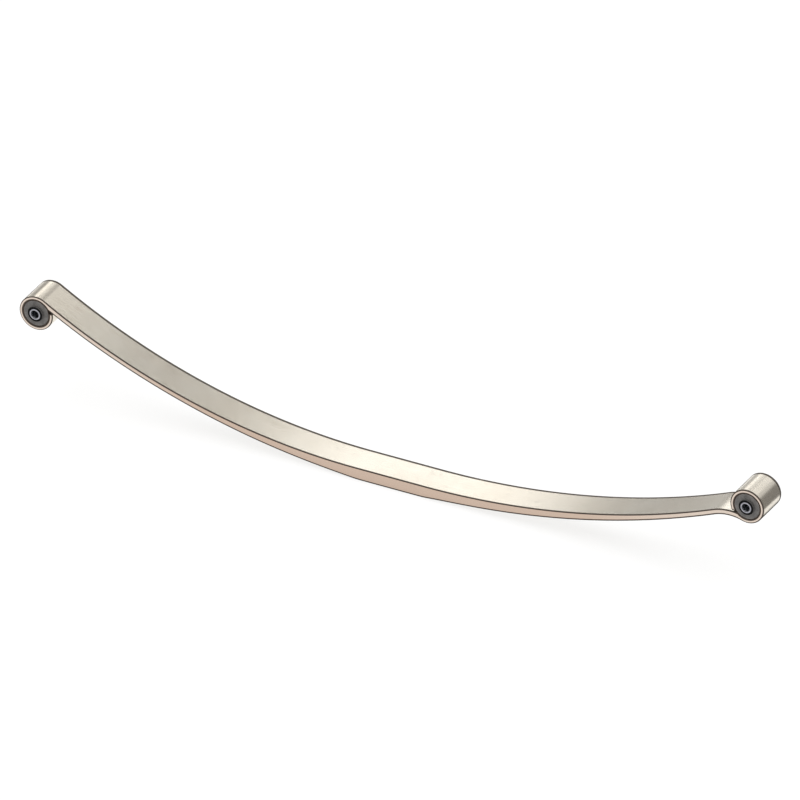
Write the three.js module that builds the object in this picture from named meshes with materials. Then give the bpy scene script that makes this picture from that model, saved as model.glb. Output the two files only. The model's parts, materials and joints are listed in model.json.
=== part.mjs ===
// A mono-leaf suspension spring: one tapered and cambered steel leaf with an eye rolled at each
// end, and a rubber-metal bush pressed into each eye.
//
// Millimetres, +Z up. The origin is the middle of the seat's underside, where the spring sits on
// its axle pad. +X runs to the rear eye, and +Y across the leaf to its right-hand side.
//
// The leaf flexes, so it is made as three links that meet in round knuckles: a centre and two
// arms. Each arm swings about the knuckle's axis as the real leaf's end does when it bends.

import * as THREE from "three";

// The leaf.
const leafWidth = 60;
const seatHalfLength = 60;
const seatThickness = 21;
const armThickness = 9.35;

// The eyes. The two stand at the same reach from the middle and at the same height.
const eyeReach = 628;
const eyeHeight = 143.5;
const eyeOuterRadius = 29.3;
const eyeBoreRadius = 23.35;

// The arms. The leaf thins from the seat outwards as a power curve over taperLength, with a short
// run-out right beside the seat. Angles are in degrees round an eye from the outward direction.
const frontArm = {
  side: -1,
  taperLength: 425,
  taperPower: 1.94,
  runoutThickness: 1.7,
  runoutLength: 38,
  hingeReach: 337,
  tipAngle: 169,
};
const rearArm = {
  side: 1,
  arcRadius: 1326,
  taperLength: 515,
  taperPower: 1.48,
  runoutThickness: 2.3,
  runoutLength: 25,
  hingeReach: 333,
  joggleRadius: 70,
  tipAngle: 208,
};
const knuckleGap = 0.3;

// The bushes, as radii about the eye's axis and half lengths along it.
const fitGap = 0.25;
const boltBoreRadius = 6.1;
const sleeveRadius = 9.6;
const sleeveHalfLength = 33.7;
const collarRadius = 13.2;
const collarHalfLength = 33.2;
const shellWall = 1.4;
const shellHalfLength = 29.6;
const rubberHalfLength = 29.2;
const rubberDish = 1.4;
const edgeChamfer = 0.5;

// How finely round stretches are divided.
const armStep = 18;
const eyeStepDegrees = 6;
const knuckleSteps = 16;
const ringSegments = 40;

const radians = THREE.MathUtils.degToRad;
const eyeCentre = new THREE.Vector2(eyeReach, eyeHeight);

// Side views are drawn in arm coordinates: x is the reach outwards from the middle, y is height.

// The front arm's top arc leaves the seat level and ends tangent to its eye's outer circle, which
// lies under it, and that settles the arc's radius.
const frontRise = eyeHeight - seatThickness;
const frontRun = eyeReach - seatHalfLength;
frontArm.arcRadius =
  (frontRun ** 2 + frontRise ** 2 - eyeOuterRadius ** 2) / (2 * (frontRise + eyeOuterRadius));

function polarPoint(centre, radius, angle) {
  return new THREE.Vector2(
    centre.x + radius * Math.cos(angle),
    centre.y + radius * Math.sin(angle),
  );
}

function arcPoints(centre, radius, from, to, steps) {
  return Array.from({ length: steps + 1 }, (_, i) =>
    polarPoint(centre, radius, from + ((to - from) * i) / steps),
  );
}

function eyeArcPoints(radius, from, to) {
  const steps = Math.ceil(Math.abs(to - from) / radians(eyeStepDegrees));
  return arcPoints(eyeCentre, radius, from, to, steps);
}

function evenReaches(from, to) {
  const steps = Math.ceil(Math.abs(to - from) / armStep);
  return Array.from({ length: steps + 1 }, (_, i) => from + ((to - from) * i) / steps);
}

function arcCentre(arm) {
  return new THREE.Vector2(seatHalfLength, seatThickness + arm.arcRadius);
}

// The slope of the top surface, as an angle, at a reach along the arm.
function leanAt(arm, reach) {
  return Math.asin(Math.max(reach - seatHalfLength, 0) / arm.arcRadius);
}

function thicknessAt(arm, reach) {
  const run = Math.max(reach - seatHalfLength, 0);
  const left = Math.max(1 - run / arm.taperLength, 0);
  const taper = (seatThickness - armThickness - arm.runoutThickness) * left ** arm.taperPower;
  return armThickness + taper + arm.runoutThickness * Math.exp(-run / arm.runoutLength);
}

// A point in the leaf, depth (0 at the top surface, 1 at the underside) square to the top surface.
function leafPoint(arm, reach, depth) {
  const lean = leanAt(arm, reach);
  const radius = arm.arcRadius + depth * thicknessAt(arm, reach);
  return polarPoint(arcCentre(arm), radius, lean - Math.PI / 2);
}

function knuckle(arm) {
  return {
    centre: leafPoint(arm, arm.hingeReach, 0.5),
    radius: thicknessAt(arm, arm.hingeReach) / 2,
    lean: leanAt(arm, arm.hingeReach),
  };
}

// The arm's round nose, from its top down its inner side to its underside.
function noseOutline(arm) {
  const { centre, radius, lean } = knuckle(arm);
  return arcPoints(centre, radius, lean + Math.PI / 2, lean + 1.5 * Math.PI, knuckleSteps);
}

// The hollow in the centre's end that the nose turns in, from the underside up to the top. It
// stops where it breaks through the leaf's two surfaces.
function hollowOutline(arm) {
  const { centre, radius, lean } = knuckle(arm);
  const hollowRadius = radius + knuckleGap;
  const lip = Math.acos(radius / hollowRadius);
  return arcPoints(
    centre,
    hollowRadius,
    lean + 1.5 * Math.PI - lip,
    lean + Math.PI / 2 + lip,
    knuckleSteps,
  );
}

// The reach at which the front leaf's underside runs into the bore of its eye.
function reachOfBore(arm) {
  let near = arm.hingeReach;
  let far = eyeReach;
  while (far - near > 0.001) {
    const middle = (near + far) / 2;
    const clear = leafPoint(arm, middle, 1).distanceTo(eyeCentre) > eyeBoreRadius;
    if (clear) near = middle;
    else far = middle;
  }
  return near;
}

// The front eye is rolled down: the leaf's top surface goes over the eye and round it.
function frontArmOutline(arm) {
  const boreReach = reachOfBore(arm);
  const boreStart = leafPoint(arm, boreReach, 1).sub(eyeCentre).angle();
  const tip = radians(arm.tipAngle - 360);
  const tangentAngle = eyeCentre.clone().sub(arcCentre(arm)).angle() - Math.PI;
  const tangentReach = eyeReach + eyeOuterRadius * Math.cos(tangentAngle);
  return [
    ...noseOutline(arm),
    ...evenReaches(arm.hingeReach, boreReach).slice(1, -1).map((x) => leafPoint(arm, x, 1)),
    ...eyeArcPoints(eyeBoreRadius, boreStart, tip),
    ...eyeArcPoints(eyeOuterRadius, tip, tangentAngle),
    ...evenReaches(tangentReach, arm.hingeReach).slice(1, -1).map((x) => leafPoint(arm, x, 0)),
  ];
}

// The joggle's centre lies under the leaf, where an arc of joggleRadius touches both the
// underside's long arc and the eye's outer circle.
function joggleCentre(arm) {
  const fromArc = arm.arcRadius + armThickness + arm.joggleRadius;
  const fromEye = eyeOuterRadius + arm.joggleRadius;
  const toEye = eyeCentre.clone().sub(arcCentre(arm));
  const span = toEye.length();
  const along = (fromArc ** 2 - fromEye ** 2 + span ** 2) / (2 * span);
  const aside = Math.sqrt(fromArc ** 2 - along ** 2);
  return polarPoint(
    polarPoint(arcCentre(arm), along, toEye.angle()),
    aside,
    toEye.angle() - Math.PI / 2,
  );
}

// The angle, seen from the eye, at which a circle about another centre crosses the bore.
function boreCrossing(centre, radius) {
  const toEye = eyeCentre.clone().sub(centre);
  const span = toEye.length();
  const cosine = (span ** 2 + eyeBoreRadius ** 2 - radius ** 2) / (2 * span * eyeBoreRadius);
  return toEye.angle() - Math.PI - Math.acos(cosine);
}

// The rear eye is rolled up: the leaf dips in a joggle, and its underside goes round the eye.
function rearArmOutline(arm) {
  const joggle = joggleCentre(arm);
  const topRadius = arm.joggleRadius + armThickness;
  const joggleStart = arcCentre(arm).sub(joggle).angle();
  const joggleEnd = eyeCentre.clone().sub(joggle).angle();
  const joggleReach = seatHalfLength + arm.arcRadius * Math.cos(joggleStart - Math.PI);
  const tip = radians(arm.tipAngle);
  const boreEnd = boreCrossing(joggle, topRadius);
  const topEnd = polarPoint(eyeCentre, eyeBoreRadius, boreEnd).sub(joggle).angle();
  const reaches = evenReaches(arm.hingeReach, joggleReach).slice(1, -1);
  return [
    ...noseOutline(arm),
    ...reaches.map((x) => leafPoint(arm, x, 1)),
    ...arcPoints(joggle, arm.joggleRadius, joggleStart, joggleEnd, knuckleSteps),
    ...eyeArcPoints(eyeOuterRadius, joggleEnd - Math.PI, tip).slice(1),
    ...eyeArcPoints(eyeBoreRadius, tip, boreEnd),
    ...arcPoints(joggle, topRadius, topEnd, joggleStart, knuckleSteps).slice(1),
    ...reaches.reverse().map((x) => leafPoint(arm, x, 0)),
  ];
}

function mirrored(points) {
  return points.map((p) => new THREE.Vector2(-p.x, p.y)).reverse();
}

// The centre carries the flat seat and reaches to both knuckles.
function centreOutline() {
  const stretch = (arm, depth) =>
    evenReaches(arm.hingeReach, seatHalfLength).slice(1).map((x) => leafPoint(arm, x, depth));
  const half = (arm) => [
    ...stretch(arm, 1).reverse(),
    ...hollowOutline(arm),
    ...stretch(arm, 0),
  ];
  return [...half(rearArm), ...mirrored(half(frontArm))];
}

// A side view made solid across the leaf's width, centred on the leaf.
function extruded(outline) {
  const shape = new THREE.Shape(outline);
  const geometry = new THREE.ExtrudeGeometry(shape, { depth: leafWidth, bevelEnabled: false });
  geometry.translate(0, 0, -leafWidth / 2);
  geometry.rotateX(Math.PI / 2);
  return geometry;
}

// A ring about the eye's axis, from its half section given as [radius, place along the axis].
function ring(section) {
  const profile = section.map(([radius, along]) => new THREE.Vector2(radius, along));
  return new THREE.LatheGeometry([...profile, profile[0].clone()], ringSegments);
}

// A plain tube's section with both edges chamfered at each end, from one place to another.
function tubeSection(inner, outer, low, high) {
  const c = edgeChamfer;
  return [
    [inner + c, low],
    [outer - c, low],
    [outer, low + c],
    [outer, high - c],
    [outer - c, high],
    [inner + c, high],
    [inner, high - c],
    [inner, low + c],
  ];
}

// The rubber's faces are dished between the sleeve and the shell.
function rubberSection(inner, outer) {
  const dishInner = inner + (outer - inner) * 0.35;
  const dishOuter = inner + (outer - inner) * 0.8;
  const half = [
    [outer, rubberHalfLength],
    [dishOuter, rubberHalfLength - rubberDish],
    [dishInner, rubberHalfLength - rubberDish],
    [inner, rubberHalfLength],
  ];
  return [...half.map(([r, y]) => [r, -y]).reverse(), ...half];
}

function finish(color, roughness, metalness) {
  return new THREE.MeshStandardMaterial({ color, roughness, metalness });
}

const finishes = {
  springSteel: () => finish(0xc6bfb2, 0.38, 0.85),
  phosphatedSteel: () => finish(0x3a332e, 0.55, 0.6),
  rubber: () => finish(0x6c6865, 0.85, 0),
  bareSteel: () => finish(0xc9cad2, 0.3, 0.95),
  collarRubber: () => finish(0x1c1c1d, 0.7, 0),
};

const model = new THREE.Group();

function addPiece(parent, name, geometry, material) {
  const mesh = new THREE.Mesh(geometry, material);
  mesh.name = name;
  parent.add(mesh);
}

addPiece(model, "leaf_centre", extruded(centreOutline()), finishes.springSteel());
addPiece(
  model,
  "leaf_front_arm",
  extruded(mirrored(frontArmOutline(frontArm))),
  finishes.springSteel(),
);
addPiece(model, "leaf_rear_arm", extruded(rearArmOutline(rearArm)), finishes.springSteel());

// One bush is an outer shell, the rubber in it, and an inner sleeve with a collar round each end.
function addBush(end, arm) {
  const bush = new THREE.Group();
  bush.position.set(arm.side * eyeReach, 0, eyeHeight);
  model.add(bush);

  const shellOuter = eyeBoreRadius - fitGap;
  const shellInner = shellOuter - shellWall;
  const aroundSleeve = sleeveRadius + fitGap;
  const collarStart = rubberHalfLength + fitGap;
  const shell = tubeSection(shellInner, shellOuter, -shellHalfLength, shellHalfLength);
  const rubber = rubberSection(aroundSleeve, shellInner - fitGap);
  const sleeve = tubeSection(boltBoreRadius, sleeveRadius, -sleeveHalfLength, sleeveHalfLength);
  const rightCollar = tubeSection(aroundSleeve, collarRadius, collarStart, collarHalfLength);
  const leftCollar = tubeSection(aroundSleeve, collarRadius, -collarHalfLength, -collarStart);

  addPiece(bush, `${end}_bush_shell`, ring(shell), finishes.phosphatedSteel());
  addPiece(bush, `${end}_bush_rubber`, ring(rubber), finishes.rubber());
  addPiece(bush, `${end}_inner_sleeve`, ring(sleeve), finishes.bareSteel());
  addPiece(bush, `${end}_right_collar`, ring(rightCollar), finishes.collarRubber());
  addPiece(bush, `${end}_left_collar`, ring(leftCollar), finishes.collarRubber());
}

addBush("front", frontArm);
addBush("rear", rearArm);

export default model;
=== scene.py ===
import json
import math

import bpy
import numpy as np
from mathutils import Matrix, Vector


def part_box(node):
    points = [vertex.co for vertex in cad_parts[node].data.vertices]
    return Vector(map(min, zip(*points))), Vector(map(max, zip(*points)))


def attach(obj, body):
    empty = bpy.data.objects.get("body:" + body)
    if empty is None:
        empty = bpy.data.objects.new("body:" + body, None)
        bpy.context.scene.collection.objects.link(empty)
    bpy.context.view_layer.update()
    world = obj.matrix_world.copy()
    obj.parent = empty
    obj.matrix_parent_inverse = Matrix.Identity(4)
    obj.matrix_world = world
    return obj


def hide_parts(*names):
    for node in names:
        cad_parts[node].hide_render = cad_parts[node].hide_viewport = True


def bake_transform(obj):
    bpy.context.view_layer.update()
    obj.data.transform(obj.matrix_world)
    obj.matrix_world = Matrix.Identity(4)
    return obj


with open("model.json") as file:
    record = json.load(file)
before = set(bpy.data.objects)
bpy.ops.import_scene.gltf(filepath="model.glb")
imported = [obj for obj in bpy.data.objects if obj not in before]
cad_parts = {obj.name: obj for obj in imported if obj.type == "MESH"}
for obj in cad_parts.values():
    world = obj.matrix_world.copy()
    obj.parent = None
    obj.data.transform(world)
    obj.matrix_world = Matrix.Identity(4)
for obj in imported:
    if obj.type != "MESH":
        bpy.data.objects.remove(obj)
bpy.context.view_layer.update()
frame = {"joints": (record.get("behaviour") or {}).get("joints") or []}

scene = bpy.context.scene
joints = {joint["name"]: joint for joint in frame["joints"]}


# Small helpers shared by every piece.

# A mesh from a grid of points, rows x columns x 3. Columns close on themselves; rows close too
# when ringRows is set, and otherwise each end row is covered by one face.
def gridMesh(name, points, ringRows=False):
    rows, columns = points.shape[:2]
    index = np.arange(rows * columns).reshape(rows, columns)
    below = index if ringRows else index[:-1]
    above = np.roll(index, -1, axis=0) if ringRows else index[1:]
    quads = np.stack(
        [below, np.roll(below, -1, axis=1), np.roll(above, -1, axis=1), above], axis=-1
    ).reshape(-1, 4)
    flat = points.reshape(-1, 3)
    if signedVolume(flat, quads, index, ringRows) < 0:
        quads = quads[:, ::-1]
        caps = [] if ringRows else [index[0].tolist(), index[-1][::-1].tolist()]
    else:
        caps = [] if ringRows else [index[0][::-1].tolist(), index[-1].tolist()]
    mesh = bpy.data.meshes.new(name)
    mesh.from_pydata(flat.tolist(), [], quads.tolist() + caps)
    mesh.polygons.foreach_set("use_smooth", [True] * len(quads) + [False] * len(caps))
    mesh.update()
    if caps:
        sharpenEnds(mesh, rows, columns)
    piece = bpy.data.objects.new(name, mesh)
    scene.collection.objects.link(piece)
    return piece


# The edges round the two end faces are sharp, so that an end doesn't tilt the shading beside it.
def sharpenEnds(mesh, rows, columns):
    ends = np.zeros(len(mesh.edges) * 2, np.int32)
    mesh.edges.foreach_get("vertices", ends)
    row = ends.reshape(-1, 2) // columns
    isEnd = (row[:, 0] == row[:, 1]) & ((row[:, 0] == 0) | (row[:, 0] == rows - 1))
    sharp = mesh.attributes.new("sharp_edge", "BOOLEAN", "EDGE")
    sharp.data.foreach_set("value", isEnd)


# Six times the volume is the sum over triangles of the triple product of their corners.
def signedVolume(flat, quads, index, ringRows):
    triangles = np.concatenate([quads[:, [0, 1, 2]], quads[:, [0, 2, 3]]])
    if not ringRows:
        fan = lambda row: np.stack([np.full(len(row) - 2, row[0]), row[1:-1], row[2:]], axis=1)
        triangles = np.concatenate([triangles, fan(index[0][::-1]), fan(index[-1])])
    a, b, c = (flat[triangles[:, i]] for i in range(3))
    return np.einsum("ij,ij->i", a, np.cross(b, c)).sum()


def pointAttribute(piece, name, values):
    attribute = piece.data.attributes.new(name, "FLOAT", "POINT")
    attribute.data.foreach_set("value", np.asarray(values, np.float32).ravel())


# Points from a to b with about the given step, both ends included.
def evenSteps(a, b, step):
    return np.linspace(a, b, max(int(math.ceil(abs(b - a) / step)), 1) + 1)


leafSteel = {
    "seatHalf": 0.060,
    "seatThickness": 0.021,
    "armThickness": 0.00935,
    "eyeOuter": 0.0293,
    "eyeBore": 0.02335,
    "edgeRound": 0.0006,
    # Widths of the painted dark outline along the leaf's edges and round its rolled tip, as edge
    # shade.
    "leftLine": 0.0011,
    "rightLine": 0.0038,
    "topSideLine": 0.0010,
    "underSideLine": 0.0015,
    "thinLineAt": 0.0085,
    "lineClear": 0.008,
    "leastRound": 0.00015,
    "tipLine": 0.0022,
    "tipLineFade": 0.0006,
    "sideCrown": 0.00025,
    "kinkSoftening": 0.006,
    "bendStart": 0.060,
    "bendEnd": 0.570,
    "armStep": 0.003,
    "fineReach": 0.05,
    "eyeStep": 0.0012,
    "front": {
        "side": -1,
        "body": "front_arm",
        "flex": "front_arm_flex",
        "twist": "front_bush_twist",
        "replaces": ["leaf_front_arm", "leaf_centre"],
        "taperLength": 0.425,
        "taperPower": 1.94,
        "runout": 0.0017,
        "runoutLength": 0.038,
        "tipDegrees": 169 - 360,
    },
    "rear": {
        "side": 1,
        "body": "rear_arm",
        "flex": "rear_arm_flex",
        "twist": "rear_bush_twist",
        "replaces": ["leaf_rear_arm", "leaf_centre"],
        "arcRadius": 1.326,
        "joggleRadius": 0.070,
        "taperLength": 0.515,
        "taperPower": 1.48,
        "runout": 0.0023,
        "runoutLength": 0.025,
        "tipDegrees": 208,
    },
}
leafWidth = (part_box("leaf_centre")[1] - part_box("leaf_centre")[0]).y


def direction(angle):
    return np.stack([np.cos(angle), np.sin(angle)], axis=-1)


def angleOf(vector):
    return math.atan2(vector[1], vector[0])


# Thickness falls from the seat as (1 - run/taperLength)^taperPower, with a short exponential
# run-out beside the seat, to the arm's thickness. The run starts softly, not with a kink.
def leafThickness(arm, reach):
    past = reach - leafSteel["seatHalf"]
    soft = leafSteel["kinkSoftening"]
    run = (past + np.sqrt(past**2 + soft**2)) / 2
    left = np.clip(1 - run / arm["taperLength"], 0, 1)
    fall = leafSteel["seatThickness"] - leafSteel["armThickness"] - arm["runout"]
    tail = arm["runout"] * np.exp(-run / arm["runoutLength"])
    return leafSteel["armThickness"] + fall * left ** arm["taperPower"] + tail


# The top surface is level over the seat and then one long arc. Returns its points and the
# direction square to it, down into the leaf.
def topSurface(arm, reach):
    lean = np.arcsin(np.maximum(reach - leafSteel["seatHalf"], 0) / arm["arcRadius"])
    rise = leafSteel["seatThickness"] + arm["arcRadius"] * (1 - np.cos(lean))
    down = np.stack([np.sin(lean), -np.cos(lean)], axis=-1)
    return np.stack([reach, rise], axis=-1), down


# How far a ray from each point runs before it enters the bore's circle: the near root of
# |point + distance * along - centre| = bore radius, or a large number if it never does.
def distanceToBore(points, along, centre):
    offset = points - centre
    towards = -(offset * along).sum(axis=-1)
    spare = towards**2 - (offset**2).sum(axis=-1) + leafSteel["eyeBore"] ** 2
    return np.where((spare > 0) & (towards > 0), towards - np.sqrt(np.maximum(spare, 0)), 1.0)


# Stations of the front half, seen from the side: outer point, direction into the leaf, depth.
# The top surface runs out along its arc, then over and round the eye to the rolled tip.
def frontStations(arm, eye):
    rise = eye[1] - leafSteel["seatThickness"]
    run = eye[0] - leafSteel["seatHalf"]
    outer = leafSteel["eyeOuter"]
    arm["arcRadius"] = (run**2 + rise**2 - outer**2) / (2 * (rise + outer))
    arcCentre = np.array([leafSteel["seatHalf"], leafSteel["seatThickness"] + arm["arcRadius"]])
    tangent = angleOf(arcCentre - eye)
    tangentReach = eye[0] + outer * math.cos(tangent)
    nearEye = tangentReach - leafSteel["fineReach"]
    reach = np.concatenate([
        evenSteps(0, nearEye, leafSteel["armStep"])[:-1],
        evenSteps(nearEye, tangentReach, leafSteel["eyeStep"] / 2)[:-1],
    ])
    top, down = topSurface(arm, reach)
    turn = evenSteps(tangent, math.radians(arm["tipDegrees"]), leafSteel["eyeStep"] / outer)
    points = np.concatenate([top, eye + outer * direction(turn)])
    along = np.concatenate([down, -direction(turn)])
    eyeDepth = np.full(len(turn), leafSteel["armThickness"])
    depth = np.concatenate([leafThickness(arm, reach), eyeDepth])
    depth = np.minimum(depth, distanceToBore(points, along, eye))
    return points, along, depth, True


# Stations of the rear half. Its underside is the outer side: it follows the long arc at the
# leaf's thickness, dips over the joggle's arc, and goes up and round the eye to the tip.
def rearStations(arm, eye):
    outer = leafSteel["eyeOuter"]
    arcCentre = np.array([leafSteel["seatHalf"], leafSteel["seatThickness"] + arm["arcRadius"]])
    joggle = touchingCentre(
        arcCentre, arm["arcRadius"] + leafSteel["armThickness"] + arm["joggleRadius"],
        eye, outer + arm["joggleRadius"],
    )
    start, end = angleOf(arcCentre - joggle), angleOf(eye - joggle)
    joggleReach = leafSteel["seatHalf"] - arm["arcRadius"] * math.cos(start)
    reach = evenSteps(0, joggleReach, leafSteel["armStep"])[:-1]
    top, down = topSurface(arm, reach)
    thick = leafThickness(arm, reach)
    bend = evenSteps(start, end, leafSteel["eyeStep"] / 2 / arm["joggleRadius"])[:-1]
    turn = evenSteps(end - math.pi, math.radians(arm["tipDegrees"]), leafSteel["eyeStep"] / outer)
    points = np.concatenate([
        top + thick[:, None] * down,
        joggle + arm["joggleRadius"] * direction(bend),
        eye + outer * direction(turn),
    ])
    along = np.concatenate([-down, direction(bend), -direction(turn)])
    flatDepth = np.full(len(bend) + len(turn), leafSteel["armThickness"])
    depth = np.concatenate([thick, flatDepth])
    depth = np.minimum(depth, distanceToBore(points, along, eye))
    return points, along, depth, False


# The lower of the two points at distance ra from a and rb from b.
def touchingCentre(a, ra, b, rb):
    span = np.linalg.norm(b - a)
    unit = (b - a) / span
    along = (ra**2 - rb**2 + span**2) / (2 * span)
    aside = math.sqrt(ra**2 - along**2)
    return a + along * unit + aside * np.array([unit[1], -unit[0]])


# One cross-section for every station: a rectangle, width across by depth, with round corners
# and slightly crowned sides. Returns the corner's radius and angles, places across from the
# left edge, and places down a side. The places are close together beside the painted dark
# outlines. The right one is wider, so that it still shows from the far left.
def sectionPlan():
    r = leafSteel["edgeRound"]
    corner = np.linspace(0, math.pi / 2, 6)
    steps = np.array([0.5, 1.0, 1.5])
    across = np.concatenate([
        leafSteel["leftLine"] * steps,
        np.linspace(leafSteel["lineClear"], leafWidth - 2 * r - leafSteel["lineClear"], 7),
        leafWidth - 2 * r - leafSteel["rightLine"] * steps[::-1],
    ])
    middle = np.array([0.25, 0.5, 0.75])
    through = (leafSteel["topSideLine"] * steps, middle, leafSteel["underSideLine"] * steps)
    return r, corner, across, through


# Places round one section at every station, as (across, deep): across runs over the leaf's
# width and deep from its top to its underside. inset shrinks the section at the rolled tip.
def sectionPoints(depth, inset):
    r, corner, across, through = sectionPlan()
    half = leafWidth / 2 - inset[:, None]
    rounding = np.maximum(r - inset, leafSteel["leastRound"])[:, None]
    low, high = inset[:, None], (depth - inset)[:, None]
    sideSpan = high - low - 2 * rounding
    crown = leafSteel["sideCrown"]
    share = (across / (leafWidth - 2 * r))[None, :]
    flatAcross = -half + rounding + share * 2 * (half - rounding)
    nearTop, middle, nearUnder = through
    thin = np.clip(depth / leafSteel["thinLineAt"], 0.3, 1)[:, None]
    upper, lower = thin * nearTop, sideSpan - thin * nearUnder[::-1]
    between = upper[:, -1:] + middle * (lower[:, :1] - upper[:, -1:])
    sideRun = np.concatenate([upper, between, lower], axis=1)
    sideDeep = low + rounding + sideRun
    bulge = crown * (1 - (2 * sideRun / sideSpan - 1) ** 2) - crown
    cornerSin, cornerCos = np.sin(corner)[None, :], np.cos(corner)[None, :]
    side = half - crown
    parts = [
        (flatAcross, low * np.ones_like(flatAcross)),
        (side - rounding + rounding * cornerSin, low + rounding - rounding * cornerCos),
        (half + bulge, sideDeep),
        (side - rounding + rounding * cornerCos, high - rounding + rounding * cornerSin),
        (flatAcross[:, ::-1], high * np.ones_like(flatAcross)),
        (-(side - rounding + rounding * cornerSin), high - rounding + rounding * cornerCos),
        (-(half + bulge), sideDeep[:, ::-1]),
        (-(side - rounding + rounding * cornerCos), low + rounding - rounding * cornerSin),
    ]
    line, isSide, lap = sectionMasks(across, through, len(corner))
    acrossPlaces = np.concatenate([part[0] for part in parts], axis=1)
    deepPlaces = np.concatenate([part[1] for part in parts], axis=1)
    return acrossPlaces, deepPlaces, line, isSide, lap


# Round the section: line is 1 on the corners and their lips, for the painted dark outline, and 0
# elsewhere, isSide is 1 on the two narrow sides, and lap is the distance round the section at the
# seat.
def sectionMasks(across, through, corners):
    r = leafSteel["edgeRound"]
    nearTop, middle, nearUnder = through
    arc = np.linspace(0, r * math.pi / 2, corners)
    flat, side = leafWidth - 2 * r, leafSteel["seatThickness"] - 2 * r
    between = side - nearTop[-1] - nearUnder[-1]
    sideRun = np.concatenate([nearTop, nearTop[-1] + middle * between, side - nearUnder[::-1]])
    flatLine = np.concatenate([[1, 1, 0], np.zeros(len(across) - 6), [0, 1, 1]])
    sideLine = np.concatenate([[1, 1, 0], 0 * middle, [0, 1, 1]])
    rounded = (np.ones(corners), 0.5, arc)
    pieces = [
        (flatLine, 0, across),
        rounded,
        (sideLine, 1, sideRun),
        rounded,
        (flatLine, 0, flat - across[::-1]),
        rounded,
        (sideLine, 1, side - sideRun[::-1]),
        rounded,
    ]
    starts = np.cumsum([0, *[flat, arc[-1], side, arc[-1]] * 2])[:-1]
    line = np.concatenate([p[0] for p in pieces])
    isSide = np.concatenate([np.full(len(p[0]), p[1], float) for p in pieces])
    lap = np.concatenate([start + p[2] for start, p in zip(starts, pieces)])
    return line, isSide, lap


# A half leaf is the section carried along the stations: point = outer point + deep * into.
def leafHalf(name, arm, stations):
    eyeAt = joints[arm["twist"]]["pos_m"]
    eye = np.array([abs(eyeAt[0]), eyeAt[2]])
    points, along, depth, outerIsTop = stations(arm, eye)
    points, along, depth, inset = roundedTip(points, along, depth)
    top = points if outerIsTop else points + depth[:, None] * along
    down = along if outerIsTop else -along
    across, deep, line, isSide, lap = sectionPoints(depth, inset)
    flatXZ = top[:, None, :] + deep[..., None] * down[:, None, :]
    grid = np.stack([arm["side"] * flatXZ[..., 0], across, flatXZ[..., 1]], axis=-1)
    piece = gridMesh(name, grid)
    travelled = np.concatenate([[0], np.cumsum(np.linalg.norm(np.diff(points, axis=0), axis=1))])
    # The painted dark outline, standing in for edge shade, also runs round the rolled tip.
    intoTip = travelled - travelled[-1] + leafSteel["tipLine"]
    tipLine = np.clip(intoTip / leafSteel["tipLineFade"], 0, 1)
    pointAttribute(piece, "edgeLine", np.maximum(line[None, :], tipLine[:, None]))
    pointAttribute(piece, "sideFace", np.broadcast_to(isSide[None, :], grid.shape[:2]))
    pointAttribute(piece, "fromMiddle", np.broadcast_to(travelled[:, None], grid.shape[:2]))
    lapAndRun(piece, arm["side"] * travelled, lap, grid.shape[:2])
    finishLeaf(piece, arm)
    return piece


# The UV map holds real distances: u along the leaf, signed so that the halves match at the
# middle, and v round its section.
def lapAndRun(piece, run, lap, shape):
    u = np.broadcast_to(run[:, None], shape).ravel()
    v = np.broadcast_to(lap[None, :], shape).ravel()
    total = 2 * (leafWidth + leafSteel["seatThickness"])
    corners = np.zeros(len(piece.data.loops), np.int32)
    piece.data.loops.foreach_get("vertex_index", corners)
    uv = np.stack([u[corners], v[corners]], axis=-1)
    starts = np.zeros(len(piece.data.polygons), np.int32)
    counts = np.zeros(len(piece.data.polygons), np.int32)
    piece.data.polygons.foreach_get("loop_start", starts)
    piece.data.polygons.foreach_get("loop_total", counts)
    quads = starts[counts == 4][:, None] + np.arange(4)[None, :]
    values = uv[quads, 1]
    wraps = (values.max(1) - values.min(1) > total / 2)[:, None] & (values < total / 2)
    uv[quads, 1] = np.where(wraps, values + total, values)
    layer = piece.data.uv_layers.new(name="lapAndRun")
    layer.data.foreach_set("uv", uv.astype(np.float32).ravel())


# The rolled tip ends in a quarter round: the last stations step forward by r*sin and shrink
# by r*(1 - cos).
def roundedTip(points, along, depth):
    r = leafSteel["edgeRound"]
    step = points[-1] - points[-2]
    forward = step / np.linalg.norm(step)
    turn = np.linspace(0, math.pi / 2, 6)[1:-1]
    extra = points[-1] + (r * np.sin(turn) - r)[:, None] * forward
    cut = points[-1] - r * forward
    keep = ((points - cut) @ forward < 0) | (np.arange(len(points)) < len(points) - 8)
    inset = np.concatenate([np.zeros(keep.sum()), r * (1 - np.cos(turn))])
    points = np.concatenate([points[keep], extra])
    along = np.concatenate([along[keep], np.repeat(along[-1:], len(turn), axis=0)])
    depth = np.concatenate([depth[keep], np.repeat(depth[-1:], len(turn))])
    return points, along, depth, inset


# The half leaf's placement is baked into its points, and the model's leaf parts that it replaces are
# hidden.
def finishLeaf(piece, arm):
    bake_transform(piece)
    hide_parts(*arm["replaces"])


leafFront = leafHalf("leaf_front_half", leafSteel["front"], frontStations)
leafRear = leafHalf("leaf_rear_half", leafSteel["rear"], rearStations)
print("leaf made:", len(leafFront.data.vertices) + len(leafRear.data.vertices), "points")


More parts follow.
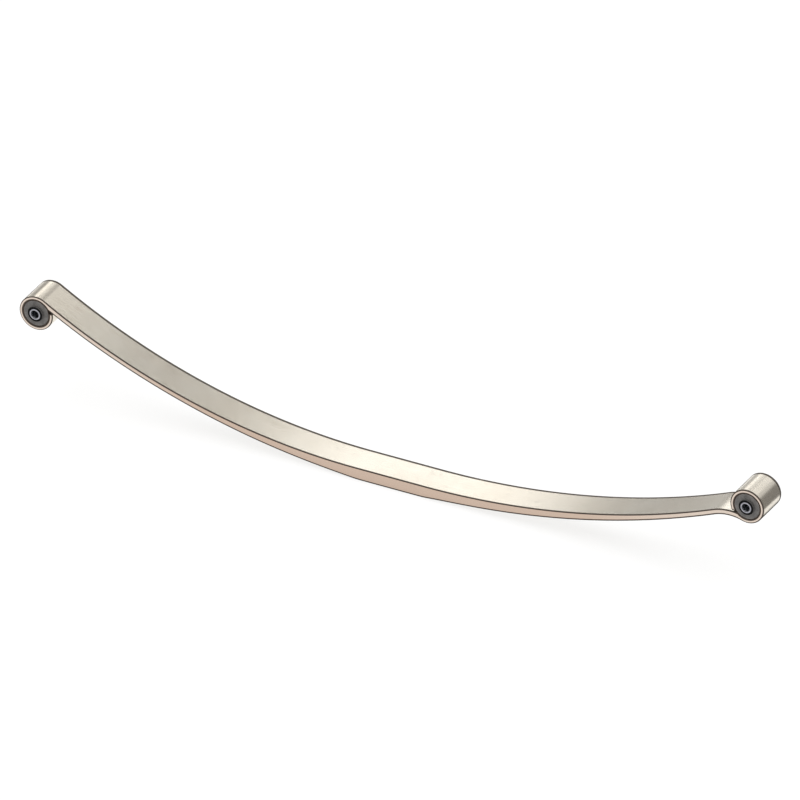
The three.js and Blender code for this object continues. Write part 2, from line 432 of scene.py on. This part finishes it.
bush = {
    "around": 120,
    "boltBore": 0.0061,
    "sleeveOuter": 0.0096,
    "sleeveHalf": 0.0337,
    "sleeveChamfer": 0.0006,
    "collarOuter": 0.0132,
    "collarEnd": 0.0332,
    "collarRound": 0.0009,
    "shellOuter": 0.0233,
    "shellWall": 0.0014,
    "shellHalf": 0.0296,
    "shellRound": 0.0005,
    "rubberHalf": 0.0292,
    "rubberDish": 0.0016,
    "runningGap": 0.00008,
    "collarGap": 0.00002,
    "ribHeight": 0.00022,
    "ribWidth": 0.03,
    "ribsAt": (0.42, 0.86),
}


# A ring about the eye's axis: every profile point, given as (radius, along), is carried round
# a circle, so x = centre + radius * cos and z = centre + radius * sin.
def turnedRing(name, centre, profile, body, replaced):
    turn = np.linspace(0, 2 * math.pi, bush["around"], endpoint=False)
    radius, along = profile[:, 0][:, None], profile[:, 1][:, None]
    grid = np.stack([
        centre[0] + radius * np.cos(turn),
        centre[1] + along + 0 * turn,
        centre[2] + radius * np.sin(turn),
    ], axis=-1)
    piece = gridMesh(name, grid, ringRows=True)
    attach(piece, body)
    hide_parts(replaced)
    return piece


# A closed outline whose corners are rounded: each corner becomes a short curve that starts and
# ends at distance r from it, by the quadratic through the corner.
def softCorners(corners, r, steps=5):
    corners = np.asarray(corners, float)
    before = np.roll(corners, 1, axis=0) - corners
    after = np.roll(corners, -1, axis=0) - corners
    reach = lambda v: np.minimum(r / np.linalg.norm(v, axis=1), 0.45)[:, None] * v
    start, end = corners + reach(before), corners + reach(after)
    t = np.linspace(0, 1, steps)[None, :, None]
    start, corner, end = start[:, None], corners[:, None], end[:, None]
    curve = (1 - t) ** 2 * start + 2 * t * (1 - t) * corner + t**2 * end
    return curve.reshape(-1, 2)


# The face of the rubber between the sleeve and the shell: a dish of depth sin(pi * share)^0.8,
# with two fine moulded ribs, each exp(-((share - place) / width)^2) high.
def rubberFace(inner, outer):
    share = np.linspace(0, 1, 40)
    dish = bush["rubberDish"] * np.sin(math.pi * share) ** 0.8
    firstRib, secondRib = (np.exp(-((share - at) / bush["ribWidth"]) ** 2) for at in bush["ribsAt"])
    rib = bush["ribHeight"] * (firstRib + secondRib)
    return np.stack([inner + (outer - inner) * share, bush["rubberHalf"] - dish + rib], axis=-1)


def makeBush(end):
    centre = joints[f"{end}_bush_twist"]["pos_m"]
    arm, sleeveBody = f"{end}_arm", f"{end}_sleeve"
    gap = bush["runningGap"]
    shellInner = bush["shellOuter"] - bush["shellWall"]
    tube = lambda a, b, low, high: [(a, low), (b, low), (b, high), (a, high)]
    shell = softCorners(
        tube(shellInner, bush["shellOuter"], -bush["shellHalf"], bush["shellHalf"]),
        bush["shellRound"],
    )
    face = rubberFace(bush["sleeveOuter"] + gap, shellInner)
    rubber = np.concatenate([face, face[::-1] * [1, -1]])
    sleeve = softCorners(
        tube(bush["boltBore"], bush["sleeveOuter"], -bush["sleeveHalf"], bush["sleeveHalf"]),
        bush["sleeveChamfer"], 3,
    )
    seat = bush["rubberHalf"] + gap
    collar = softCorners(
        tube(bush["sleeveOuter"] + bush["collarGap"], bush["collarOuter"], seat, bush["collarEnd"]),
        bush["collarRound"],
    )
    return {
        "shell": turnedRing(f"{end}_shell", centre, shell, arm,
                            f"{end}_bush_shell"),
        "rubber": turnedRing(f"{end}_rubber", centre, rubber, arm,
                             f"{end}_bush_rubber"),
        "sleeve": turnedRing(f"{end}_sleeve_tube", centre, sleeve, sleeveBody,
                             f"{end}_inner_sleeve"),
        "rightCollar": turnedRing(f"{end}_collar_right", centre, collar,
                                  sleeveBody, f"{end}_right_collar"),
        "leftCollar": turnedRing(f"{end}_collar_left", centre, collar * [1, -1],
                                 sleeveBody, f"{end}_left_collar"),
    }


bushes = {end: makeBush(end) for end in ("front", "rear")}
print("bushes made:", sum(len(b) for b in bushes.values()), "pieces")


class Finish:
    def __init__(self, name, metallic=0.0, specular=0.5):
        self.material = bpy.data.materials.new(name)
        self.material.use_nodes = True
        self.tree = self.material.node_tree
        self.tree.nodes.clear()
        self.shader = self.node("ShaderNodeBsdfPrincipled")
        self.shader.inputs["Metallic"].default_value = metallic
        self.shader.inputs["Specular IOR Level"].default_value = specular
        output = self.node("ShaderNodeOutputMaterial")
        self.link(self.shader.outputs[0], output.inputs[0])

    def node(self, kind, **values):
        made = self.tree.nodes.new(kind)
        for key, value in values.items():
            setattr(made, key, value)
        return made

    def link(self, a, b):
        self.tree.links.new(a, b)

    def put(self, value, socket):
        if isinstance(value, bpy.types.NodeSocket):
            self.link(value, socket)
        else:
            socket.default_value = value

    # Coordinates: the object's own metres, moved so that centre is zero and then stretched.
    def place(self, source="Object", centre=(0, 0, 0), stretch=(1, 1, 1)):
        coordinates = self.node("ShaderNodeTexCoord")
        mapping = self.node("ShaderNodeMapping", vector_type="POINT")
        mapping.inputs["Location"].default_value = [-c * s for c, s in zip(centre, stretch)]
        mapping.inputs["Scale"].default_value = stretch
        self.link(coordinates.outputs[source], mapping.inputs["Vector"])
        return mapping.outputs[0]

    def noise(self, where, scale, detail=4, rough=0.55, distortion=0.0):
        made = self.node("ShaderNodeTexNoise")
        self.put(where, made.inputs["Vector"])
        made.inputs["Scale"].default_value = scale
        made.inputs["Detail"].default_value = detail
        made.inputs["Roughness"].default_value = rough
        made.inputs["Distortion"].default_value = distortion
        return made.outputs["Fac"]

    def cells(self, where, scale, feature="F1"):
        made = self.node("ShaderNodeTexVoronoi", feature=feature)
        self.put(where, made.inputs["Vector"])
        made.inputs["Scale"].default_value = scale
        return made.outputs["Distance"]

    def attribute(self, name):
        return self.node("ShaderNodeAttribute", attribute_name=name).outputs["Fac"]

    def maths(self, operation, a, b=0.0, clamp=False):
        made = self.node("ShaderNodeMath", operation=operation, use_clamp=clamp)
        self.put(a, made.inputs[0])
        self.put(b, made.inputs[1])
        return made.outputs[0]

    # A value moved from one range to another, held at the ends.
    def spread(self, value, low, high, toLow=0.0, toHigh=1.0):
        made = self.node("ShaderNodeMapRange", interpolation_type="SMOOTHSTEP")
        for socket, v in zip(("Value", "From Min", "From Max", "To Min", "To Max"),
                             (value, low, high, toLow, toHigh)):
            self.put(v, made.inputs[socket])
        return made.outputs[0]

    def mixed(self, share, a, b, blend="MIX"):
        made = self.node("ShaderNodeMix", data_type="RGBA", blend_type=blend)
        self.put(share, made.inputs["Factor"])
        self.put(colour(a), made.inputs["A"])
        self.put(colour(b), made.inputs["B"])
        return made.outputs["Result"]

    def bump(self, height, strength, distance, normal=None):
        made = self.node("ShaderNodeBump")
        self.put(height, made.inputs["Height"])
        made.inputs["Strength"].default_value = strength
        made.inputs["Distance"].default_value = distance
        if normal is not None:
            self.link(normal, made.inputs["Normal"])
        return made.outputs[0]

    # Distance from an axis, as the root of the sum of the other two places' squares. The eyes'
    # axes run along y, the floor's along z.
    def fromAxis(self, where, others=(0, 2)):
        parts = self.node("ShaderNodeSeparateXYZ")
        self.link(where, parts.inputs[0])
        squares = [self.maths("POWER", parts.outputs[i], 2.0) for i in others]
        return self.maths("SQRT", self.maths("ADD", *squares))

    def wear(self, base=None, rough=None, normal=None):
        for name, value in (("Base Color", base), ("Roughness", rough), ("Normal", normal)):
            if value is not None:
                self.put(value, self.shader.inputs[name])
        return self.material


def colour(value):
    return (*value, 1.0) if isinstance(value, tuple) and len(value) == 3 else value


# Bright spring steel: warm satin faces, sides painted darker and redder as shade, a painted
# dark edge outline as edge shade, a fine peened grain, faint streaks along the leaf, a few soft
# stains.
leafFinish = {
    "face": (0.80, 0.750, 0.655),
    "faceWarm": (0.745, 0.685, 0.585),
    # Side colours are painted shade, darker and redder than the faces, and painted lighter near the
    # eyes.
    "side": (0.569, 0.440, 0.355),
    "oxide": (0.030, 0.021, 0.016),
    "sideAtEyes": (0.684, 0.580, 0.498),
    "roughLow": 0.19,
    "roughHigh": 0.26,
}


def springSteel():
    f = Finish("springSteel", metallic=1.0, specular=0.05)
    where = f.place()
    run = f.place("UV", stretch=(1, 14, 1))
    streaks = f.noise(run, 60, 5, 0.6)
    longStreaks = f.noise(f.place("UV", stretch=(1, 60, 1)), 14, 3, 0.5)
    clouds = f.noise(where, 9, 3, 0.5)
    stains = f.noise(where, 34, 5, 0.62, 0.4)
    grain = f.noise(where, 1400, 2, 0.5)
    peen = f.cells(where, 620)
    tone = f.maths("ADD", f.maths("MULTIPLY", clouds, 0.5), f.maths("MULTIPLY", longStreaks, 0.5))
    base = f.mixed(f.spread(tone, 0.38, 0.62), leafFinish["face"], leafFinish["faceWarm"])
    # The sides get the painted shade colour, blended to the painted lighter colour near the eyes.
    side = f.mixed(f.spread(f.attribute("fromMiddle"), 0.30, 0.60), leafFinish["side"],
                   leafFinish["sideAtEyes"])
    base = f.mixed(f.spread(f.attribute("sideFace"), 0.3, 0.9), base, side)
    base = f.mixed(f.spread(stains, 0.60, 0.74, 0, 0.16), base, (0.40, 0.33, 0.26))
    # The painted dark outline, standing in for edge shade: near-black, rougher, less metallic,
    # varied by stains.
    line = f.spread(f.attribute("edgeLine"), 0.25, 0.75)
    outlineShadeMask = f.maths("MULTIPLY", line, f.spread(stains, 0.20, 0.42, 0.80, 1.0))
    base = f.mixed(f.maths("MULTIPLY", outlineShadeMask, 0.93), base, leafFinish["oxide"])
    rough = f.spread(streaks, 0.3, 0.7, leafFinish["roughLow"], leafFinish["roughHigh"])
    rough = f.maths("ADD", rough, f.spread(stains, 0.50, 0.80, 0.0, 0.02))
    rough = f.maths("ADD", rough, f.maths("MULTIPLY", line, 0.45))
    f.put(f.maths("SUBTRACT", 1.0, f.maths("MULTIPLY", outlineShadeMask, 0.96)), f.shader.inputs["Metallic"])
    normal = f.bump(peen, 0.10, 0.0003)
    normal = f.bump(grain, 0.05, 0.0002, normal)
    normal = f.bump(streaks, 0.06, 0.0002, normal)
    return f.wear(base, rough, normal)


# Matt grey moulded rubber: mottled, with fine rings left by the mould and a bloom of dust.
def mouldedRubber(centre):
    f = Finish("mouldedRubber_" + ("front" if centre[0] < 0 else "rear"), specular=0.35)
    where = f.place(centre=centre)
    mottle = f.noise(where, 160, 5, 0.6)
    bloom = f.noise(where, 45, 4, 0.6, 0.5)
    rings = f.maths("SINE", f.maths("MULTIPLY", f.fromAxis(where), 7000))
    base = f.mixed(f.spread(mottle, 0.35, 0.65), (0.128, 0.121, 0.116), (0.183, 0.175, 0.168))
    base = f.mixed(f.spread(bloom, 0.45, 0.72, 0, 0.55), base, (0.25, 0.235, 0.222))
    rough = f.spread(mottle, 0.3, 0.7, 0.68, 0.88)
    normal = f.bump(rings, 0.12, 0.0001)
    normal = f.bump(f.noise(where, 900, 3, 0.6), 0.25, 0.0002, normal)
    return f.wear(base, rough, normal)


# Turned steel: bright end faces with fine tool rings and a painted dark outline at each of their
# edges, standing in for edge shade, and a grey bore.
def turnedSleeve(centre):
    f = Finish("turnedSleeve_" + ("front" if centre[0] < 0 else "rear"), metallic=1.0)
    where = f.place(centre=centre)
    radius = f.fromAxis(where)
    rings = f.maths("SINE", f.maths("MULTIPLY", radius, 26000))
    wipe = f.noise(where, 240, 4, 0.6)
    base = f.mixed(f.spread(wipe, 0.35, 0.65), (0.40, 0.40, 0.435), (0.31, 0.31, 0.345))
    # Painted dark outlines: near-black inside 6.9 mm and outside 9.5 mm from the axis, as edge
    # shade.
    base = f.mixed(f.spread(radius, 0.0073, 0.0069), base, (0.012, 0.012, 0.013))
    base = f.mixed(f.spread(radius, 0.0091, 0.0095), base, (0.012, 0.012, 0.013))
    base = f.mixed(f.spread(radius, 0.00625, 0.00615), base, (0.42, 0.44, 0.47))
    rough = f.spread(wipe, 0.3, 0.7, 0.24, 0.40)
    normal = f.bump(rings, 0.20, 0.0001)
    normal = f.bump(f.noise(where, 1200, 2, 0.5), 0.06, 0.0002, normal)
    return f.wear(base, rough, normal)


# Collar rubber: its end face painted black as a dark outline ring standing in for edge shade, and
# its outer wall grey, painted darker than the main rubber as shade.
def collarRubber(centre):
    f = Finish("collarRubber_" + ("front" if centre[0] < 0 else "rear"), specular=0.05)
    where = f.place(centre=centre)
    rub = f.noise(where, 210, 4, 0.6)
    radius = f.fromAxis(where)
    # The end face's black is a painted dark outline; the wall's grey is painted darker as shade.
    base = f.mixed(f.spread(rub, 0.4, 0.7), (0.003, 0.003, 0.0035), (0.010, 0.0098, 0.0098))
    greyWallShade = f.mixed(f.spread(rub, 0.4, 0.7), (0.080, 0.077, 0.074), (0.115, 0.110, 0.106))
    base = f.mixed(f.spread(radius, 0.0127, 0.0130), base, greyWallShade)
    rough = f.spread(rub, 0.35, 0.65, 0.38, 0.62)
    normal = f.bump(f.noise(where, 1000, 3, 0.55), 0.2, 0.0002)
    return f.wear(base, rough, normal)


# Phosphated shell: near-black brown steel with a crystalline grain.
def phosphatedShell(centre):
    f = Finish("phosphatedShell_" + ("front" if centre[0] < 0 else "rear"), metallic=0.6)
    where = f.place(centre=centre)
    crystals = f.cells(where, 1500)
    patches = f.noise(where, 130, 4, 0.6)
    base = f.mixed(f.spread(patches, 0.35, 0.7), (0.032, 0.020, 0.014), (0.080, 0.050, 0.033))
    rough = f.spread(crystals, 0.1, 0.6, 0.42, 0.62)
    normal = f.bump(crystals, 0.2, 0.0002)
    return f.wear(base, rough, normal)


def dress(piece, material):
    piece.data.materials.clear()
    piece.data.materials.append(material)


leafMaterial = springSteel()
dress(leafFront, leafMaterial)
dress(leafRear, leafMaterial)
for end, parts in bushes.items():
    centre = joints[f"{end}_bush_twist"]["pos_m"]
    collarMaterial = collarRubber(centre)
    dress(parts["shell"], phosphatedShell(centre))
    dress(parts["rubber"], mouldedRubber(centre))
    dress(parts["sleeve"], turnedSleeve(centre))
    dress(parts["rightCollar"], collarMaterial)
    dress(parts["leftCollar"], collarMaterial)
print("materials made:", len(bpy.data.materials))


studio = {
    "floorReach": 3.2,
    "floorFade": 1.9,
    "floorPale": (0.250, 0.250, 0.249),
    "floorShade": (0.242, 0.2415, 0.240),
    "floorGlow": 0.74,
    "backdrop": 1.0,
    # brightness of the room against the height of a direction (0 level, 1 straight up)
    "room": [(0.00, 0.62), (0.12, 0.56), (0.21, 0.34), (0.31, 0.32), (0.42, 0.78), (0.54, 0.72),
             (0.60, 0.34), (1.00, 0.32)],
}


# The floor fades out into the backdrop, so that no horizon shows.
def paleFloor():
    half = studio["floorReach"]
    mesh = bpy.data.meshes.new("paleFloor")
    corners = [(-half, -half, 0), (half, -half, 0), (half, half, 0), (-half, half, 0)]
    mesh.from_pydata(corners, [], [(0, 1, 2, 3)])
    floor = bpy.data.objects.new("paleFloor", mesh)
    scene.collection.objects.link(floor)
    f = Finish("paleFloor", specular=0.2)
    cloud = f.noise(f.place(), 2.0, 3, 0.5)
    base = f.mixed(f.spread(cloud, 0.3, 0.7), studio["floorPale"], studio["floorShade"])
    reach = f.fromAxis(f.place(), others=(0, 1))
    f.link(f.spread(reach, studio["floorFade"], studio["floorReach"], 1.0, 0.0),
           f.shader.inputs["Alpha"])
    f.shader.inputs["Emission Color"].default_value = (1, 1, 1, 1)
    f.shader.inputs["Emission Strength"].default_value = studio["floorGlow"]
    dress(floor, f.wear(base, 0.85))


# The world is a soft grey room for the reflections and a pale backdrop for the eye.
def softRoom():
    world = bpy.data.worlds.new("softRoom")
    scene.world = world
    world.use_nodes = True
    tree = world.node_tree
    tree.nodes.clear()
    make = tree.nodes.new
    coordinates = make("ShaderNodeTexCoord")
    parts = make("ShaderNodeSeparateXYZ")
    tree.links.new(coordinates.outputs["Generated"], parts.inputs[0])
    ramp = make("ShaderNodeValToRGB")
    stops = ramp.color_ramp.elements
    while len(stops) < len(studio["room"]):
        stops.new(1.0)
    for stop, (height, glow) in zip(stops, studio["room"]):
        stop.position = height
        stop.color = (glow, glow, glow, 1)
    tree.links.new(parts.outputs[2], ramp.inputs[0])
    room = make("ShaderNodeBackground")
    tree.links.new(ramp.outputs[0], room.inputs["Color"])
    room.inputs["Strength"].default_value = 1.0
    backdrop = make("ShaderNodeBackground")
    backdrop.inputs["Color"].default_value = (*[studio["backdrop"]] * 3, 1)
    seen = make("ShaderNodeLightPath")
    mix = make("ShaderNodeMixShader")
    tree.links.new(seen.outputs["Is Camera Ray"], mix.inputs[0])
    tree.links.new(room.outputs[0], mix.inputs[1])
    tree.links.new(backdrop.outputs[0], mix.inputs[2])
    output = make("ShaderNodeOutputWorld")
    tree.links.new(mix.outputs[0], output.inputs[0])


# A soft box stands at a place and faces a target. Its glow is the brightness of its face, so
# its power is glow * pi * area.
softBoxes = {
    "overhead": {"place": (0, 0, 4.2), "target": (0, 0, 0), "size": (7.0, 7.0), "glow": 1.75},
    "key": {"place": (-1.05, 2.0, 1.23), "target": (-0.2, 0, 0.1), "size": (1.8, 0.56),
            "glow": 0.87},
    "keyFade": {"place": (-1.25, 2.0, 1.66), "target": (-0.2, 0, 0.1), "size": (1.4, 0.30),
                "glow": 0.15},
    "keyRight": {"place": (0.10, 2.0, 1.50), "target": (0.6, 0, 0.1), "size": (0.85, 0.40),
                 "glow": 0.40},
    "backRight": {"place": (1.05, 2.0, 1.85), "target": (0.6, 0, 0.1), "size": (1.3, 0.5),
                  "glow": 0.62},
    "frontEyeTop": {"place": (-1.15, 2.0, 1.96), "target": (-0.6, 0, 0.1), "size": (0.5, 0.2),
                    "glow": 0.60},
    "rearEyeTop": {"place": (0.25, 2.0, 2.00), "target": (0.6, 0, 0.1), "size": (0.5, 0.2),
                   "glow": 0.70},
    "frontRight": {"place": (1.3, -2.2, 1.4), "target": (0, 0, 0.05), "size": (1.4, 0.9),
                   "glow": 1.2},
    "frontLow": {"place": (0, -3.6, 0.75), "target": (0, 0, 0.1), "size": (4.5, 1.2),
                 "glow": 0.45},
}


def lightStudio():
    for name, made in softBoxes.items():
        light = bpy.data.lights.new(name, "AREA")
        light.shape = "RECTANGLE"
        light.size, light.size_y = made["size"]
        light.energy = made["glow"] * math.pi * light.size * light.size_y
        box = bpy.data.objects.new(name, light)
        scene.collection.objects.link(box)
        box.location = made["place"]
        facing = Vector(made["target"]) - Vector(made["place"])
        box.rotation_mode = "QUATERNION"
        box.rotation_quaternion = facing.to_track_quat("-Z", "Y")
        box.visible_camera = False


# Cards stand beside the eyes for the reflections only: nothing else sees them. The grey one
# leans beyond the rear eye, and the dark flags draw the edges of the two round eyes. Each card
# runs from its foot to its top, and its breadth is level.
darkFelt = ((0.01, 0.01, 0.01), (0.02, 0.02, 0.02))
greyFelt = ((0.17, 0.165, 0.16), (0.21, 0.205, 0.20))
cards = {
    "greyCard": {"foot": (0.79, 0.23, 0.002), "top": (1.13, 0.63, 0.42),
                 "breadth": (0.246, -0.205, 0), "felt": greyFelt},
    "frontFlag": {"foot": (-0.79, 0.25, 0.002), "top": (-0.81, 0.25, 0.075),
                  "breadth": (0.20, 0, 0), "felt": darkFelt},
    "rearFlag": {"foot": (0.45, 0.25, 0.002), "top": (0.43, 0.25, 0.075),
                 "breadth": (0.20, 0, 0), "felt": darkFelt},
    "underFlag": {"foot": (0.57, 0.08, 0.002), "top": (0.57, 0.36, 0.002),
                  "breadth": (0.20, 0, 0), "felt": darkFelt},
}


def standCard(name, made):
    foot, top, half = Vector(made["foot"]), Vector(made["top"]), Vector(made["breadth"]) / 2
    mesh = bpy.data.meshes.new(name)
    corners = [foot - half, foot + half, top + half, top - half]
    mesh.from_pydata([tuple(c) for c in corners], [], [(0, 1, 2, 3)])
    card = bpy.data.objects.new(name, mesh)
    scene.collection.objects.link(card)
    f = Finish(name, specular=0.0)
    felt = f.noise(f.place(), 40, 3, 0.5)
    dress(card, f.wear(f.mixed(felt, *made["felt"]), 1.0))
    card.visible_camera = False
    card.visible_diffuse = False
    card.visible_shadow = False
    card.visible_transmission = False


paleFloor()
softRoom()
lightStudio()
for name, made in cards.items():
    standCard(name, made)

camera = {
    "azimuth": 28.02,
    "elevation": 30.71,
    "lens": 1500,
    "sensor": 36,
    "frameWidth": 1.2475,
    "right": 0.01609,
    "up": 0.01502,
}


# The camera stands far off with a very long lens. It looks at the middle of the leaf's near
# side at the height of the eyes, moved a little right and up in the view.
def placeCamera():
    a, e = math.radians(camera["azimuth"]), math.radians(camera["elevation"])
    back = Vector((math.sin(a) * math.cos(e), -math.cos(a) * math.cos(e), math.sin(e)))
    right = Vector((math.cos(a), math.sin(a), 0))
    up = back.cross(right)
    eyeHeight = joints["front_bush_twist"]["pos_m"][2]
    aim = Vector((0, -leafWidth / 2, eyeHeight))
    aim += camera["right"] * right + camera["up"] * up
    data = bpy.data.cameras.new("longLens")
    data.sensor_width = camera["sensor"]
    data.lens = camera["lens"]
    away = camera["frameWidth"] * camera["lens"] / camera["sensor"]
    data.clip_start, data.clip_end = away / 100, away * 4
    lens = bpy.data.objects.new("longLens", data)
    scene.collection.objects.link(lens)
    lens.location = aim + back * away
    lens.rotation_mode = "QUATERNION"
    lens.rotation_quaternion = (-back).to_track_quat("-Z", "Y")
    scene.camera = lens


placeCamera()
scene.view_settings.view_transform = "Standard"
scene.view_settings.look = "None"
print("studio ready")
